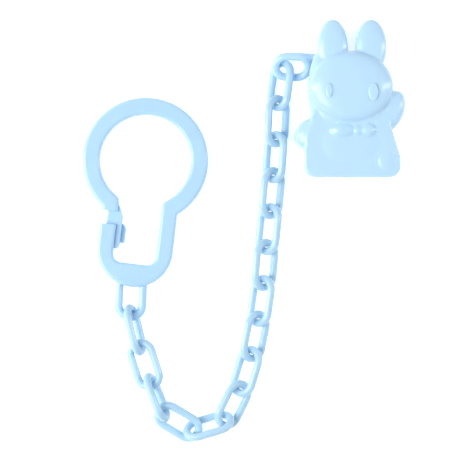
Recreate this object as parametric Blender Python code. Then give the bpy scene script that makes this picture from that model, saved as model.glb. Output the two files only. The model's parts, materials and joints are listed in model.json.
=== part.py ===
"""Pacifier holder chain: flexible snap ring, fifteen loose links and a sprung clip with a rabbit front."""

import math

import bmesh
import bpy
from mathutils import Matrix, Vector

MM = 0.001

# ---- Where the pieces lie, in millimetres, before LAYOUT_SHIFT is added
LAYOUT_SHIFT = Vector((-0.017, -0.794, 0.0))

# ---- Chain
LINK_COUNT = 15
LINK_BAR_R = 1.3
LINK_ARC_R = 3.65
LINK_STRAIGHT = 7.15
LINK_BAR_SIDES = 8
LINK_ARC_STEPS = 11
LOOSE_GAP = 0.3
LINK_HEADING = (-98, -93, -94, -95, -96, -95, -98, -101, -107, -116, -163, 149, 112, 108, 104)
LINK_ROLL = (-44, 41, -46, 42, -42, 39, -41, 39, -38, 34, -52, 19, -74, 17, -72)
# Links that ride on their neighbours, and bends where the links stand looser
LINK_LIFT = {9: 0.2, 11: 0.4, 12: 1.1, 14: 2.4}
LINK_SLACK = {11: 0.4, 12: 0.7, 13: 0.7, 14: 0.7}
CHAIN_START = (12.8, 54.7)

# ---- Snap ring, in its own frame: x across, y up, z out of its plane, centre of the round part at zero
RING_CENTRE = (-31.41, 23.46)
RING_TURN = -6.63
RING_TILT = -1.6
RING_THICK = 5.0
RING_EDGE_R = 1.9
RING_OUTER_R = 20.1
RING_INNER_R = 14.6
NECK_OUTER_X = 12.1
NECK_INNER_X = 6.9
NECK_FILLET_R = 2.6
TAIL_OUTER_Y = -28.6
TAIL_INNER_Y = -33.3
TAIL_CORNER_R = 2.8
RING_PIVOT_Y = 0.5 * (RING_OUTER_R + RING_INNER_R)
PIVOT_R = 2.75
ARM_END_Y = -17.2
SOCKET_TOP_Y = -21.5
SOCKET_FLOOR_Y = -31.4
SOCKET_SLOT = 2.0
SOCKET_WALL_X = -10.45
TONGUE_THICK = 1.5
TONGUE_X = (-10.2, -5.1)
TONGUE_END_Y = -29.0
EAR_X = (-8.5, -3.7)
EAR_Y = (-27.0, -20.6)
EYE_BAR_R = 1.32
EYE_HALF_WIDTH = 3.78
EYE_END_Y = -50.3
EYE_END_X = 0.88
EYE_LEAN = 4.2
EYE_ROOT_Y = -37.5
GUIDE_CORNER_R = 2.4
TONGUE_ROOT_Y = -14.5

# ---- Clip, in the layout frame. A rounded part: centre, half sizes, turn, shoulder z, top z
HEAD = ((34.0, 46.7), (13.9, 11.8), 0, 10.0, 15.6)
RABBIT = {
    "ear_left": ((28.2, 59.4), (5.0, 9.0), 0, 10.4, 12.6),
    "ear_right": ((40.4, 59.4), (5.1, 9.0), 0, 10.4, 12.6),
    "neck": ((34.0, 38.4), (13.2, 4.8), 0, 8.0, 10.6),
    "body": ((33.6, 29.0), (14.4, 11.2), 0, 8.2, 11.4),
    "foot_left": ((24.2, 22.4), (5.1, 4.4), 0, 8.6, 11.6),
    "foot_right": ((45.4, 23.0), (4.5, 4.7), 0, 9.0, 12.4),
    "arm_left": ((22.0, 32.0), (6.2, 5.0), 28, 8.4, 11.4),
    "arm_right": ((47.0, 39.0), (4.0, 7.0), -22, 8.8, 11.8),
}
SEAT = ((21.9, 18.0), (46.3, 18.0), (47.6, 26.0), (46.4, 38.0), (22.0, 40.0), (19.3, 26.0))
SEAT_TOP_Z = 8.2
EYES = ((27.2, 45.0), (40.8, 45.0))
EYE_SHAPE = ((1.5, 2.8), 12.0, 14.6, 15.6)
BOW_LOBES = ((29.6, 33.2), (34.2, 32.4), (38.8, 33.2))
BOW_SHAPE = ((2.7, 2.2), 9.0, 11.6, 13.0)
HOLLOW_HEAD = ((34.0, 46.7), (11.9, 9.8), 0.0, 9.0, 13.6)
HOLLOW_BODY = ((33.4, 29.0), (11.6, 9.2), 0.0, 6.8, 9.4)
BACK_THICK = 2.6
BACK_CHAMFER = 0.5
BACK_INSET = 1.3
RIM_Z = 3.2
LUG_ROOF_Z = 12.6
HANDLE_Z = 8.6
HANDLE_FROM_Y = 49.3
HINGE = (34.0, 50.5, 6.2)
PIN_R = 0.9
PIN_LENGTH = 17.6
LUG_R = 2.6
FRONT_LUG_X = 4.6
BACK_LUG_X = 7.2
LUG_WIDTH = 2.0
SPRING_WIRE_R = 0.4
SPRING_COIL_R = 1.85
SPRING_TURNS = 4.5
SPRING_LEG = 9.0
TOOTH_HALF = 1.3
FRONT_TOOTH_ROOT_Z = 9.8
BACK_TOOTH_TIP_Z = 4.8
TOOTH_PITCH = 3.8
TOOTH_Y = 22.8
TOOTH_LENGTH = 2.4
FRONT_TOOTH_X = 26.4
BACK_TOOTH_X = 28.3
LOOP_BAR_R = 1.42
LOOP_LEFT_X = 10.15
LOOP_RIGHT_X = 20.7
LOOP_LOW = (50.1, 3.4)
LOOP_HIGH = (56.6, 6.8)
LOOP_ROOT = (25.0, 56.2, 5.2)
LOOP_POST_HALF = 1.5

BLUE = (0.52, 0.78, 0.95, 1.0)
BLUE_LINK = (0.50, 0.76, 0.94, 1.0)
STEEL = (0.62, 0.62, 0.64, 1.0)


def clear_scene():
    for obj in list(bpy.data.objects):
        bpy.data.objects.remove(obj, do_unlink=True)


def plastic(name, colour, roughness, metallic=0.0):
    material = bpy.data.materials.new(name)
    material.use_nodes = True
    shader = material.node_tree.nodes["Principled BSDF"]
    shader.inputs["Base Color"].default_value = colour
    shader.inputs["Roughness"].default_value = roughness
    shader.inputs["Metallic"].default_value = metallic
    return material


def new_object(name, mesh, helper=False):
    obj = bpy.data.objects.new(name, mesh)
    bpy.context.scene.collection.objects.link(obj)
    if helper:
        obj.hide_render = True
        obj.display_type = "WIRE"
    return obj


def mesh_from(name, points, faces, smooth=True):
    """A mesh from points in millimetres, with its faces turned outwards."""
    mesh = bpy.data.meshes.new(name)
    mesh.from_pydata([Vector(p) * MM for p in points], [], faces)
    work = bmesh.new()
    work.from_mesh(mesh)
    bmesh.ops.remove_doubles(work, verts=work.verts, dist=1e-7)
    bmesh.ops.recalc_face_normals(work, faces=work.faces)
    for face in work.faces:
        face.smooth = smooth
    work.to_mesh(mesh)
    work.free()
    return mesh


def box(name, low, high):
    corners = [(x, y, z) for x in (low[0], high[0]) for y in (low[1], high[1]) for z in (low[2], high[2])]
    sides = [(0, 1, 3, 2), (4, 6, 7, 5), (0, 4, 5, 1), (2, 3, 7, 6), (0, 2, 6, 4), (1, 5, 7, 3)]
    return new_object(name, mesh_from(name, corners, sides, smooth=False), helper=True)


def prism(name, outline, low, high):
    """A straight prism over a closed outline of (x, y)."""
    count = len(outline)
    points = [(x, y, low) for x, y in outline] + [(x, y, high) for x, y in outline]
    faces = [(i, (i + 1) % count, count + (i + 1) % count, count + i) for i in range(count)]
    faces += [tuple(range(count)), tuple(range(count, 2 * count))]
    return new_object(name, mesh_from(name, points, faces, smooth=False), helper=True)


def arc(centre, radius, start, end, steps):
    """Points (x, y) along a circle, from one angle in degrees to another."""
    angles = [math.radians(start + (end - start) * i / steps) for i in range(steps + 1)]
    return [(centre[0] + radius * math.cos(a), centre[1] + radius * math.sin(a)) for a in angles]


def cylinder_x(name, centre, radius, length, sides=20):
    """A round bar along x."""
    ring = [(y, z) for y, z in arc((centre[1], centre[2]), radius, 0, 360, sides)[:-1]]
    count = len(ring)
    ends = (centre[0] - length / 2, centre[0] + length / 2)
    points = [(x, y, z) for x in ends for y, z in ring]
    faces = [(i, (i + 1) % count, count + (i + 1) % count, count + i) for i in range(count)]
    faces += [tuple(range(count)), tuple(range(count, 2 * count))]
    return new_object(name, mesh_from(name, points, faces), helper=True)


def tube(path, radius, sides, closed):
    """Points and faces of a round bar swept along a path of Vectors."""
    count = len(path)
    points = []
    side = None
    for i, here in enumerate(path):
        before = path[(i - 1) % count] if closed or i else here
        after = path[(i + 1) % count] if closed or i < count - 1 else here
        along = (after - before).normalized()
        if side is None:
            guess = Vector((0, 0, 1)) if abs(along.z) < 0.8 else Vector((1, 0, 0))
            side = along.cross(guess).normalized()
        side = (side - along * side.dot(along)).normalized()
        other = along.cross(side)
        for k in range(sides):
            turn = 2 * math.pi * (k + 0.5) / sides
            points.append(here + (side * math.cos(turn) + other * math.sin(turn)) * radius)
    faces = []
    for i in range(count if closed else count - 1):
        j = (i + 1) % count
        for k in range(sides):
            m = (k + 1) % sides
            faces.append((i * sides + k, i * sides + m, j * sides + m, j * sides + k))
    if not closed:
        faces.append(tuple(range(sides)))
        faces.append(tuple(range((count - 1) * sides, count * sides)))
    return points, faces


def boolean(target, operation, *others):
    """Applies a Boolean of each helper to the target and removes the helpers."""
    for other in others:
        modifier = target.modifiers.new("Boolean", "BOOLEAN")
        modifier.operation = operation
        modifier.solver = "EXACT"
        modifier.object = other
        graph = bpy.context.evaluated_depsgraph_get()
        mesh = bpy.data.meshes.new_from_object(target.evaluated_get(graph))
        target.modifiers.clear()
        target.data = mesh
        bpy.data.objects.remove(other, do_unlink=True)
    return target


def dome(name, centre, half, low, shoulder, top, turn=0.0, sides=32, rings=4):
    """A flat-bottomed oval puck: straight sides up to the shoulder, then a rounded top."""
    levels = [(1.0, low)]
    for i in range(rings):
        a = 0.5 * math.pi * i / rings
        levels.append((math.cos(a), shoulder + (top - shoulder) * math.sin(a)))
    spin = math.radians(turn)
    points = []
    for scale, z in levels:
        for k in range(sides):
            a = 2 * math.pi * k / sides
            x = half[0] * scale * math.cos(a)
            y = half[1] * scale * math.sin(a)
            across = x * math.cos(spin) - y * math.sin(spin)
            up = x * math.sin(spin) + y * math.cos(spin)
            points.append((centre[0] + across, centre[1] + up, z))
    points.append((centre[0], centre[1], top))
    faces = [tuple(range(sides))]
    for i in range(len(levels) - 1):
        for k in range(sides):
            m = (k + 1) % sides
            faces.append((i * sides + k, i * sides + m, (i + 1) * sides + m, (i + 1) * sides + k))
    last = (len(levels) - 1) * sides
    for k in range(sides):
        faces.append((last + k, last + (k + 1) % sides, len(points) - 1))
    return new_object(name, mesh_from(name, points, faces), helper=True)


def finish(obj, name, material, origin=(0.0, 0.0, 0.0)):
    """Names a piece, gives it its material, and puts its origin at a point of its own frame."""
    obj.name = name
    obj.data.name = name
    obj.hide_render = False
    obj.display_type = "TEXTURED"
    obj.data.materials.clear()
    obj.data.materials.append(material)
    obj.data.transform(Matrix.Translation(-Vector(origin) * MM))
    for face in obj.data.polygons:
        face.use_smooth = True
        face.material_index = 0
    work = bmesh.new()
    work.from_mesh(obj.data)
    for edge in work.edges:
        edge.smooth = len(edge.link_faces) == 2 and edge.calc_face_angle(0.0) < math.radians(32)
    work.to_mesh(obj.data)
    work.free()
    return obj


# ---------------------------------------------------------------- snap ring
def ring_outlines():
    """The outer outline and the opening of the whole ring, each a closed list of (x, y)."""
    meet_outer = -math.degrees(math.acos(NECK_OUTER_X / RING_OUTER_R))
    outer = arc((0, 0), RING_OUTER_R, meet_outer, 180 - meet_outer, 48)
    outer += arc((0, TAIL_OUTER_Y), NECK_OUTER_X, 180, 360, 24)
    # the inner corner where the round opening runs into the neck is rounded by a circle outside both
    reach = RING_INNER_R + NECK_FILLET_R
    fillet_x = NECK_INNER_X + NECK_FILLET_R
    fillet_y = -math.sqrt(reach**2 - fillet_x**2)
    meet_inner = math.degrees(math.atan2(fillet_y, fillet_x))
    corner = (NECK_INNER_X - TAIL_CORNER_R, TAIL_INNER_Y + TAIL_CORNER_R)
    inner = arc((0, 0), RING_INNER_R, meet_inner, 180 - meet_inner, 44)
    inner += arc((-fillet_x, fillet_y), NECK_FILLET_R, -meet_inner, 0, 4)[1:]
    inner += arc((-corner[0], corner[1]), TAIL_CORNER_R, 180, 270, 5)
    inner += arc(corner, TAIL_CORNER_R, 270, 360, 5)
    inner += arc((fillet_x, fillet_y), NECK_FILLET_R, 180, 180 + meet_inner, 4)[:-1]
    return outer, inner


def ring_blank(name):
    """The whole ring as one rounded plate with its opening."""
    curve = bpy.data.curves.new(name, "CURVE")
    curve.dimensions = "2D"
    curve.fill_mode = "BOTH"
    curve.extrude = (RING_THICK / 2 - RING_EDGE_R) * MM
    curve.bevel_depth = RING_EDGE_R * MM
    curve.bevel_resolution = 2
    curve.offset = -RING_EDGE_R * MM
    for outline in ring_outlines():
        spline = curve.splines.new("POLY")
        spline.points.add(len(outline) - 1)
        for point, (x, y) in zip(spline.points, outline):
            point.co = (x * MM, y * MM, 0.0, 1.0)
        spline.use_cyclic_u = True
    source = bpy.data.objects.new(name, curve)
    bpy.context.scene.collection.objects.link(source)
    graph = bpy.context.evaluated_depsgraph_get()
    mesh = bpy.data.meshes.new_from_object(source.evaluated_get(graph))
    bpy.data.objects.remove(source, do_unlink=True)
    work = bmesh.new()
    work.from_mesh(mesh)
    bmesh.ops.remove_doubles(work, verts=work.verts, dist=1e-6)
    bmesh.ops.recalc_face_normals(work, faces=work.faces)
    work.to_mesh(mesh)
    work.free()
    return new_object(name, mesh, helper=True)


def ring_place():
    """The ring's own frame in the layout, raised so that its far edge stands on the table."""
    turn = Matrix.Rotation(math.radians(RING_TURN), 4, "Z")
    tilt = Matrix.Rotation(math.radians(RING_TILT), 4, "X")
    lift = RING_THICK / 2 + (RING_OUTER_R - RING_EDGE_R) * math.sin(math.radians(-RING_TILT))
    centre = Vector((RING_CENTRE[0], RING_CENTRE[1], lift)) + LAYOUT_SHIFT
    return Matrix.Translation(centre * MM) @ turn @ tilt


def half_cutter(name, low_y, radius):
    """The left half of the ring down to low_y, with a round end about the pivot."""
    far = RING_OUTER_R + 5
    half = prism(name, [(0, low_y), (0, far), (-far, far), (-far, low_y)], -far, far)
    knuckle = prism(name + "_end", arc((0, RING_PIVOT_Y), radius, 0, 360, 32)[:-1], -far, far)
    return boolean(half, "UNION", knuckle)


def build_ring(material):
    place = ring_place()
    arm = boolean(ring_blank("arm_blank"), "INTERSECT", half_cutter("keep", ARM_END_Y, PIVOT_R))
    left, right = TONGUE_X
    end = TONGUE_END_Y
    blade = [(left, TONGUE_ROOT_Y), (left, end + 2.2), (left + 1.4, end), (right - 0.8, end)]
    blade += [(right, end + 1.0), (right, ARM_END_Y - 1.4), (right - 1.8, TONGUE_ROOT_Y)]
    tongue = prism("tongue", blade, -TONGUE_THICK / 2, TONGUE_THICK / 2)
    arm = finish(boolean(arm, "UNION", tongue), "ring_arm", material, (0, RING_PIVOT_Y, 0))
    arm.matrix_world = place @ Matrix.Translation(Vector((0, RING_PIVOT_Y, 0)) * MM)

    frame = ring_blank("frame_blank")
    boolean(frame, "DIFFERENCE", half_cutter("away", SOCKET_TOP_Y, PIVOT_R + LOOSE_GAP))
    slot_low = (SOCKET_WALL_X, SOCKET_FLOOR_Y, -SOCKET_SLOT / 2)
    slot = box("slot", slot_low, (-NECK_INNER_X + 2.0, SOCKET_TOP_Y + 5, SOCKET_SLOT / 2))
    boolean(frame, "DIFFERENCE", slot)
    guide = [(EAR_X[0], EAR_Y[0]), (EAR_X[1], EAR_Y[0])]
    guide += arc((EAR_X[1] - GUIDE_CORNER_R, EAR_Y[1] - GUIDE_CORNER_R), GUIDE_CORNER_R, 0, 90, 5)
    guide.append((EAR_X[0], EAR_Y[1]))
    boolean(frame, "UNION", prism("guide", guide, -RING_THICK / 2, -SOCKET_SLOT / 2 - 0.05))
    lean = math.radians(EYE_LEAN)
    bend = [(EYE_HALF_WIDTH, 0.0)] + arc((0, 0), EYE_HALF_WIDTH, 0, -180, 12)
    rise = EYE_ROOT_Y - EYE_END_Y - EYE_HALF_WIDTH
    outline = [(EYE_HALF_WIDTH, rise)] + bend[1:] + [(-EYE_HALF_WIDTH, rise)]
    path = []
    for x, y in outline:
        y = y + EYE_HALF_WIDTH
        across = x * math.cos(lean) - y * math.sin(lean)
        up = x * math.sin(lean) + y * math.cos(lean)
        path.append(Vector((EYE_END_X + across, EYE_END_Y + up, 0)))
    points, faces = tube(path, EYE_BAR_R, 10, closed=False)
    boolean(frame, "UNION", new_object("eye", mesh_from("eye", points, faces), helper=True))
    frame = finish(frame, "ring_frame", material)
    frame.matrix_world = place


# ---------------------------------------------------------------- chain
def link_mesh():
    path = []
    for side in (1, -1):
        for x, y in arc((LINK_STRAIGHT / 2, 0), LINK_ARC_R, -90, 90, LINK_ARC_STEPS):
            path.append(Vector((side * x, side * y, 0)))
    points, faces = tube(path, LINK_BAR_R, LINK_BAR_SIDES, closed=True)
    return mesh_from("link", points, faces)


def link_frame(heading, roll):
    """(along, across): the direction a link lies in, and that of its width."""
    turn = math.radians(heading)
    along = Vector((math.cos(turn), math.sin(turn), 0))
    right = Vector((along.y, -along.x, 0))
    across = right * math.cos(math.radians(roll)) + Vector((0, 0, math.sin(math.radians(roll))))
    return along, across


def build_chain(material):
    """Each link hangs on the far end of the one before it, and its empty stands on that end's bar."""
    mesh = link_mesh()
    mesh.materials.append(material)
    half = LINK_STRAIGHT / 2 + LINK_ARC_R
    along_before = far_end = None
    for number in range(1, LINK_COUNT + 1):
        roll = LINK_ROLL[number - 1]
        along, across = link_frame(LINK_HEADING[number - 1], roll)
        height = LINK_BAR_R + LINK_ARC_R * abs(math.sin(math.radians(roll))) + LINK_LIFT.get(number, 0.0)
        if far_end is None:
            near = Vector((CHAIN_START[0], CHAIN_START[1], height))
            joint = near.copy()
        else:
            pull = (along + along_before).normalized()
            near = far_end - pull * (2 * LINK_BAR_R + LINK_SLACK.get(number, LOOSE_GAP))
            near.z = height
            joint = far_end
        centre = near + along * half
        pivot = bpy.data.objects.new(f"pivot_link_{number:02d}", None)
        bpy.context.scene.collection.objects.link(pivot)
        pivot.location = (joint + LAYOUT_SHIFT) * MM
        link = new_object(f"link_{number:02d}", mesh)
        axes = Matrix((along, across, along.cross(across))).transposed().to_4x4()
        link.parent = pivot
        link.matrix_local = Matrix.Translation((centre - joint) * MM) @ axes
        far_end = centre + along * half
        along_before = along


# ---------------------------------------------------------------- clip
def rabbit(name, shrink, low, lowered, left_out=()):
    """The rabbit as a union of shrunk domes; lowered is one shoulder and top for all of them."""
    whole = dome_of(f"{name}_head", HEAD, shrink, low, lowered)
    for part, shape in RABBIT.items():
        if part not in left_out:
            boolean(whole, "UNION", dome_of(f"{name}_{part}", shape, shrink, low, lowered))
    middle = (HEAD[0][0], RABBIT["body"][0][1])
    seat = []
    for x, y in SEAT:
        seat.append((x + math.copysign(shrink, middle[0] - x), y + math.copysign(shrink, middle[1] - y)))
    return boolean(whole, "UNION", prism(f"{name}_seat", seat, low, lowered[0] if lowered else SEAT_TOP_Z))


def dome_of(name, shape, shrink, low, lowered):
    centre, half, turn, shoulder, top = shape
    if lowered:
        shoulder, top = lowered
    size = (half[0] - shrink, half[1] - shrink)
    return dome(name, centre, size, low, shoulder, top, turn, rings=1 if lowered else 4)


def studs(target, name, places, shape):
    """Small raised ovals of one shape."""
    half, low, shoulder, top = shape
    for place in places:
        boolean(target, "UNION", dome(name, place, half, low, shoulder, top, sides=16, rings=2))


def hollow(target, name, shape):
    centre, half, low, shoulder, top = shape
    return boolean(target, "DIFFERENCE", dome(name, centre, half, low, shoulder, top))


def lug(name, x, low, roof, width=LUG_WIDTH):
    """An upright plate across the hinge, round about the pin at one end."""
    _, y, z = HINGE
    up = 1 if roof > z else -1
    base = roof if up > 0 else low
    outline = arc((y, z), LUG_R, 180 if up > 0 else 0, 360 if up > 0 else 180, 10)
    outline += [(y + up * LUG_R, base), (y - up * LUG_R, base)]
    count = len(outline)
    points = [(x + s * width / 2, p, q) for s in (-1, 1) for p, q in outline]
    faces = [(i, (i + 1) % count, count + (i + 1) % count, count + i) for i in range(count)]
    faces += [tuple(range(count)), tuple(range(count, 2 * count))]
    return new_object(name, mesh_from(name, points, faces, smooth=False), helper=True)


def wedge(name, x, base, tip):
    """A tooth with a sharp edge along y."""
    points = []
    for y in (TOOTH_Y, TOOTH_Y + TOOTH_LENGTH):
        points += [(x - TOOTH_HALF, y, base), (x + TOOTH_HALF, y, base), (x, y, tip)]
    faces = [(0, 1, 2), (3, 5, 4), (0, 3, 4, 1), (1, 4, 5, 2), (2, 5, 3, 0)]
    return new_object(name, mesh_from(name, points, faces, smooth=False), helper=True)


def teeth(target, first_x, count, base, tip):
    for step in range(count):
        boolean(target, "UNION", wedge("tooth", first_x + TOOTH_PITCH * step, base, tip))


def build_loop(back):
    """The eye that holds the chain: an oblong loop whose high bar runs on into a post of the rear jaw."""
    low = Vector((0, LOOP_LOW[0], LOOP_LOW[1]))
    high = Vector((0, LOOP_HIGH[0], LOOP_HIGH[1]))
    middle = (low + high) / 2
    upright = (high - low) / 2
    radius = upright.length
    path = []
    for centre_x, start in ((LOOP_LEFT_X + radius, 90), (LOOP_RIGHT_X - radius, 270)):
        for x, y in arc((centre_x, 0), radius, start, start + 180, 9):
            path.append(middle + Vector((x, 0, 0)) + upright * (y / radius))
    points, faces = tube(path, LOOP_BAR_R, 10, closed=True)
    boolean(back, "UNION", new_object("loop", mesh_from("loop", points, faces), helper=True))
    root = Vector(LOOP_ROOT)
    start = Vector((0.5 * (LOOP_LEFT_X + LOOP_RIGHT_X), high.y, high.z))
    points, faces = tube([start, root], LOOP_BAR_R - 0.05, 10, closed=False)
    neck = new_object("neck", mesh_from("neck", points, faces), helper=True)
    reach = Vector((LOOP_POST_HALF, LOOP_POST_HALF, LOOP_BAR_R - 0.2))
    post = box("post", (root.x - reach.x, root.y - reach.y, BACK_THICK / 4), root + reach)
    boolean(back, "UNION", neck, post)


def build_front(blue):
    x = HINGE[0]
    front = rabbit("shell", 0.0, RIM_Z, None)
    studs(front, "eye", EYES, EYE_SHAPE)
    studs(front, "bow", BOW_LOBES, BOW_SHAPE)
    hollow(front, "hollow_head", HOLLOW_HEAD)
    hollow(front, "hollow_body", HOLLOW_BODY)
    handle_gap = box("handle_gap", (0, HANDLE_FROM_Y, 0), (2 * x, 2 * HANDLE_FROM_Y, HANDLE_Z))
    boolean(front, "DIFFERENCE", handle_gap)
    for side in (-1, 1):
        boolean(front, "UNION", lug("lug", x + side * FRONT_LUG_X, 0, LUG_ROOF_Z))
    boolean(front, "DIFFERENCE", cylinder_x("bore", HINGE, PIN_R + LOOSE_GAP, 2 * BACK_LUG_X))
    teeth(front, FRONT_TOOTH_X, 5, FRONT_TOOTH_ROOT_Z, RIM_Z)
    front = finish(front, "clip_front", blue, HINGE)
    front.matrix_world = Matrix.Translation((Vector(HINGE) + LAYOUT_SHIFT) * MM)


def build_back(blue):
    x, y, z = HINGE
    lowered = (BACK_THICK - BACK_CHAMFER, BACK_THICK)
    back = rabbit("plate", BACK_INSET, 0.0, lowered, left_out=("arm_right",))
    for side in (-1, 1):
        boolean(back, "UNION", lug("lug", x + side * BACK_LUG_X, BACK_THICK / 2, z))
    boolean(back, "DIFFERENCE", cylinder_x("bore", HINGE, PIN_R + LOOSE_GAP, 3 * BACK_LUG_X))
    teeth(back, BACK_TOOTH_X, 4, BACK_THICK / 2, BACK_TOOTH_TIP_Z)
    build_loop(back)
    back = finish(back, "clip_back", blue)
    back.matrix_world = Matrix.Translation(LAYOUT_SHIFT * MM)


def build_pin(steel):
    pin = finish(cylinder_x("pin", (0, 0, 0), PIN_R, PIN_LENGTH), "hinge_pin", steel)
    pin.matrix_world = Matrix.Translation((Vector(HINGE) + LAYOUT_SHIFT) * MM)


def build_spring(steel):
    """A torsion spring about the pin, its two legs reaching towards the handle."""
    steps = 12
    pitch = 2 * SPRING_WIRE_R + 0.15
    start = -0.5 * pitch * SPRING_TURNS
    path = []
    for i in range(int(SPRING_TURNS * steps) + 1):
        a = 2 * math.pi * i / steps - 0.5 * math.pi
        around = Vector((0, math.cos(a), math.sin(a))) * SPRING_COIL_R
        path.append(Vector((start + pitch * i / steps, 0, 0)) + around)
    first = path[0] + Vector((0, SPRING_LEG, -0.25))
    last = path[-1] + Vector((0, SPRING_LEG, -0.9))
    points, faces = tube([first] + path + [last], SPRING_WIRE_R, 6, closed=False)
    spring = new_object("spring", mesh_from("spring", points, faces), helper=True)
    spring = finish(spring, "clip_spring", steel)
    spring.matrix_world = Matrix.Translation((Vector(HINGE) + LAYOUT_SHIFT) * MM)


def main():
    clear_scene()
    blue = plastic("ring_blue", BLUE, 0.28)
    link_blue = plastic("link_blue", BLUE_LINK, 0.28)
    clip_blue = plastic("clip_blue", BLUE, 0.25)
    steel = plastic("spring_steel", STEEL, 0.35, metallic=1.0)
    build_ring(blue)
    build_chain(link_blue)
    build_front(clip_blue)
    build_back(clip_blue)
    build_pin(steel)
    build_spring(steel)
    bpy.context.view_layer.update()


main()
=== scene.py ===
"""Light blue plastic holder chain for a pacifier: snap ring, loose oval links and a sprung rabbit clip."""

import json
import math

import bmesh
import bpy
from mathutils import Matrix, Vector


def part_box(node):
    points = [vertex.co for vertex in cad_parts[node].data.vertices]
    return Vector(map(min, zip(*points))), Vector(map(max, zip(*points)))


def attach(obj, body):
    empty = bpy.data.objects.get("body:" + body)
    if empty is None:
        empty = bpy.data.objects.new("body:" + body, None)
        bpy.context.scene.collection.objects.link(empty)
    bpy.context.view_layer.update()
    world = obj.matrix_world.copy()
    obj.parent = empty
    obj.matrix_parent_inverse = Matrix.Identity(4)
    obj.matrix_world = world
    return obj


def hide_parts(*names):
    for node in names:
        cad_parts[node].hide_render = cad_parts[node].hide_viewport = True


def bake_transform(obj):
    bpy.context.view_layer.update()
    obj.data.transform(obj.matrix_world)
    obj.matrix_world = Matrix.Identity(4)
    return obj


bl_info = {
    "name": "Pacifier holder chain",
    "version": (1, 0, 0),
    "blender": (4, 5, 0),
    "location": "View3D > Sidebar > Holder",
    "description": "Builds the snap ring, the chain and the rabbit clip around the packed model",
    "category": "Object",
}

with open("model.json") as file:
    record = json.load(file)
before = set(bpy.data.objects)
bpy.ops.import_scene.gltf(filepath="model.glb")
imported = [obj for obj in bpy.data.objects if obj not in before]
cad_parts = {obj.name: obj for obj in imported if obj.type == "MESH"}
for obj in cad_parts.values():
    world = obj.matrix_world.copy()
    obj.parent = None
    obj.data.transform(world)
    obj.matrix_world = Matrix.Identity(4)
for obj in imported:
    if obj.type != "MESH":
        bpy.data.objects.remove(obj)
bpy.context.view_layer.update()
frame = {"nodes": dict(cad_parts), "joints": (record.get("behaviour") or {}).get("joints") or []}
JOINTS = {joint["name"]: joint for joint in frame["joints"]}
LINK_NAMES = sorted(name for name in frame["nodes"] if name.startswith("link_"))

MM = 0.001
Z_AXIS = Vector((0, 0, 1))

# ---- Clip outline, in millimetres from the clip's own origin.
# A rounded part: centre, half sizes, turn in degrees, height of its shoulder, height of its top
HINGE = Vector((34.0, 50.5, 6.2))
HEAD = ((34.0, 46.7), (13.9, 11.8), 0, 10.0, 15.2)
RABBIT = {
    "ear_left": ((28.2, 59.4), (5.0, 9.0), 0, 10.4, 12.6),
    "ear_right": ((40.4, 59.4), (5.1, 9.0), 0, 10.4, 12.6),
    "cheek_left": ((24.7, 46.6), (4.25, 12.4), 0, 9.0, 12.6),
    "neck": ((34.0, 38.4), (13.2, 4.8), 0, 9.0, 13.0),
    "body": ((33.6, 29.0), (14.4, 11.2), 0, 8.8, 12.6),
    "foot_left": ((24.2, 22.4), (5.0, 4.4), 0, 9.2, 12.3),
    "foot_right": ((45.4, 23.0), (4.5, 4.7), 0, 9.2, 12.6),
    "arm_left": ((22.0, 32.0), (6.2, 5.0), 28, 8.8, 12.1),
    "arm_right": ((47.0, 39.0), (4.0, 7.0), -22, 8.8, 12.1),
}
SEAT = (
    (22.2, 18.0), (46.9, 18.0), (48.7, 18.8), (49.7, 20.6), (49.7, 24.4),
    (45.6, 37.6), (22.0, 40.0), (19.2, 26.8), (19.2, 21.2), (20.1, 18.9),
)
SEAT_TOP = 12.2
SEAT_EDGE = 2.0
EYES = (((27.0, 45.3), (1.0, 2.2)), ((40.9, 44.9), (1.55, 2.8)))
BOW = (((31.4, 32.9), (3.8, 2.2)), ((39.3, 32.9), (2.6, 2.1)), ((36.0, 32.8), (1.6, 1.6)))
HOLLOW_HEAD = ((34.0, 46.7), (11.9, 9.8), 0, 9.0, 13.6)
HOLLOW_BODY = ((33.4, 29.0), (11.6, 9.2), 0, 6.8, 9.4)
FRONT_LUG_X = 4.6
BACK_LUG_X = 7.2
LUG_HALF_WIDTH = 1.0
LUG_RADIUS = 2.6
LUG_ROOF = 12.6
LOOP_LOW = Vector((0, 50.1, 3.4))
LOOP_HIGH = Vector((0, 56.6, 6.8))
LOOP_ROOT = Vector((25.0, 56.2, 5.2))
LOOP_LEFT_X = 10.15
LOOP_RIGHT_X = 20.7
TOOTH_Y = 22.8
TOOTH_LENGTH = 2.4
TOOTH_HALF = 1.3
TOOTH_PITCH = 3.8


# ---------------------------------------------------------------- sizes and colours a user may change
def length(name, description, default):
    return bpy.props.FloatProperty(
        name=name, description=description, default=default, min=0.0, unit="LENGTH", precision=5
    )


def angle(name, description, degrees):
    return bpy.props.FloatProperty(
        name=name, description=description, default=math.radians(degrees), unit="ROTATION"
    )


def share(name, description, default):
    return bpy.props.FloatProperty(
        name=name, description=description, default=default, min=0.0, max=1.0, subtype="FACTOR"
    )


def colour(name, description, default):
    return bpy.props.FloatVectorProperty(
        name=name, description=description, default=default, size=3, min=0.0, max=1.0, subtype="COLOR"
    )


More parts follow.
